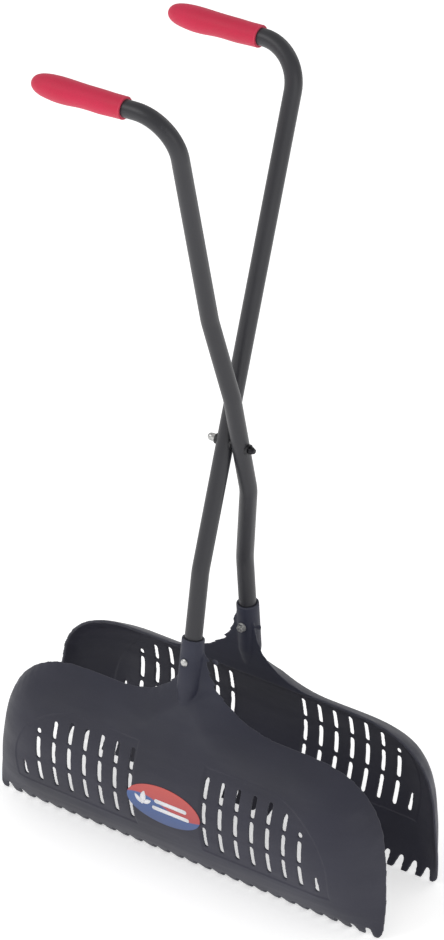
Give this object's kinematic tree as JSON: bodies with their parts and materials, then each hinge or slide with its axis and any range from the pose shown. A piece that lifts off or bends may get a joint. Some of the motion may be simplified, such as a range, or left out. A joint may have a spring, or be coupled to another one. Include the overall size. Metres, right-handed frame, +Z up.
{
  "type": "leaf grabber",
  "caption": "Long-handled leaf grabber: two wide toothed, slotted jaws on crossing bent tubes that pivot like scissors, with soft grips.",
  "frame": {"origin": "middle of the jaws' length, in the middle plane between the jaws, on the surface the tooth tips stand on", "axes": "+X along the jaws, away from the grips; +Y from the front jaw to the rear jaw; +Z up to the grips"},
  "size_m": [0.495, 0.2442, 0.8457],
  "materials": {
    "jaw_plastic": "fine satin moulded plastic, very dark navy grey",
    "tube_paint": "dark grey powder coat",
    "grip": "soft crimson rubber",
    "steel": "zinc-plated steel",
    "black_steel": "black oxide",
    "black_plastic": "plain black plastic",
    "label": "glossy printed sticker"
  },
  "bodies": {
    "front_lever": {"front_jaw": "jaw_plastic", "front_lever_tube": "tube_paint", "front_lever_grip": "grip", "jaw_label": "label", "front_pivot_sleeve": "black_plastic", "front_saddle_washer": "black_plastic", "pivot_spacer": "black_plastic", "pivot_bolt": "black_steel", "pivot_cap_nut": "steel", "front_socket_screw": "steel", "front_socket_washer": "steel", "front_socket_nut": "steel"},
    "rear_lever": {"rear_jaw": "jaw_plastic", "rear_lever_tube": "tube_paint", "rear_lever_grip": "grip", "rear_pivot_sleeve": "black_plastic", "rear_saddle_washer": "black_plastic", "rear_socket_screw": "steel", "rear_socket_washer": "steel", "rear_socket_nut": "steel"}
  },
  "joints": [
    {"name": "lever_pivot", "type": "hinge", "parent": "front_lever", "child": "rear_lever", "pos_m": [0, 0, 0.4516], "axis": [1, 0, 0], "range_deg": [-14, 48]}
  ]
}
